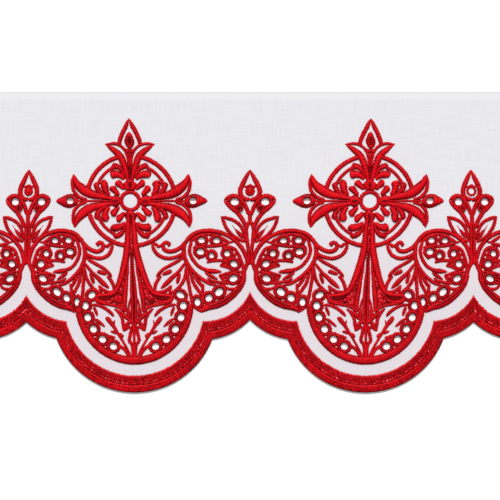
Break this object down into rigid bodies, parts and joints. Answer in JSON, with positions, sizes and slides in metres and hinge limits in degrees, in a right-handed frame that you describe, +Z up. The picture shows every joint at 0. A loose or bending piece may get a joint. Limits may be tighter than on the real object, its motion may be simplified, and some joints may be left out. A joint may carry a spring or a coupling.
{
  "type": "altar cloth",
  "caption": "Altar cloth front: white linen band with a red satin-stitched scalloped border of crosses in rings, scroll roundels with cut eyelets, bowls and fleurons, lying flat.",
  "frame": {"origin": "centre of the cloth's bounding box, on the surface it lies on", "axes": "+X along the cloth's length, +Y from the scalloped edge towards the plain top edge, +Z up out of the face"},
  "size_m": [0.4128, 0.2408, 0.003],
  "materials": {
    "linen": "plain woven white linen, matt",
    "thread": "red rayon machine embroidery in satin stitch, soft sheen"
  },
  "bodies": {
    "root": {"linen_ground": "linen", "border_fill": "thread", "border_rim": "thread", "cross_left": "thread", "foot_left": "thread", "bowl_left": "thread", "fleuron_left": "thread", "roundel_left_inner": "thread", "roundel_left_outer": "thread", "roundel_left_end": "thread", "cross_right": "thread", "foot_right": "thread", "bowl_right": "thread", "fleuron_right": "thread", "roundel_right_inner": "thread", "roundel_right_outer": "thread", "roundel_right_end": "thread", "fleuron_middle": "thread"}
  },
  "joints": []
}
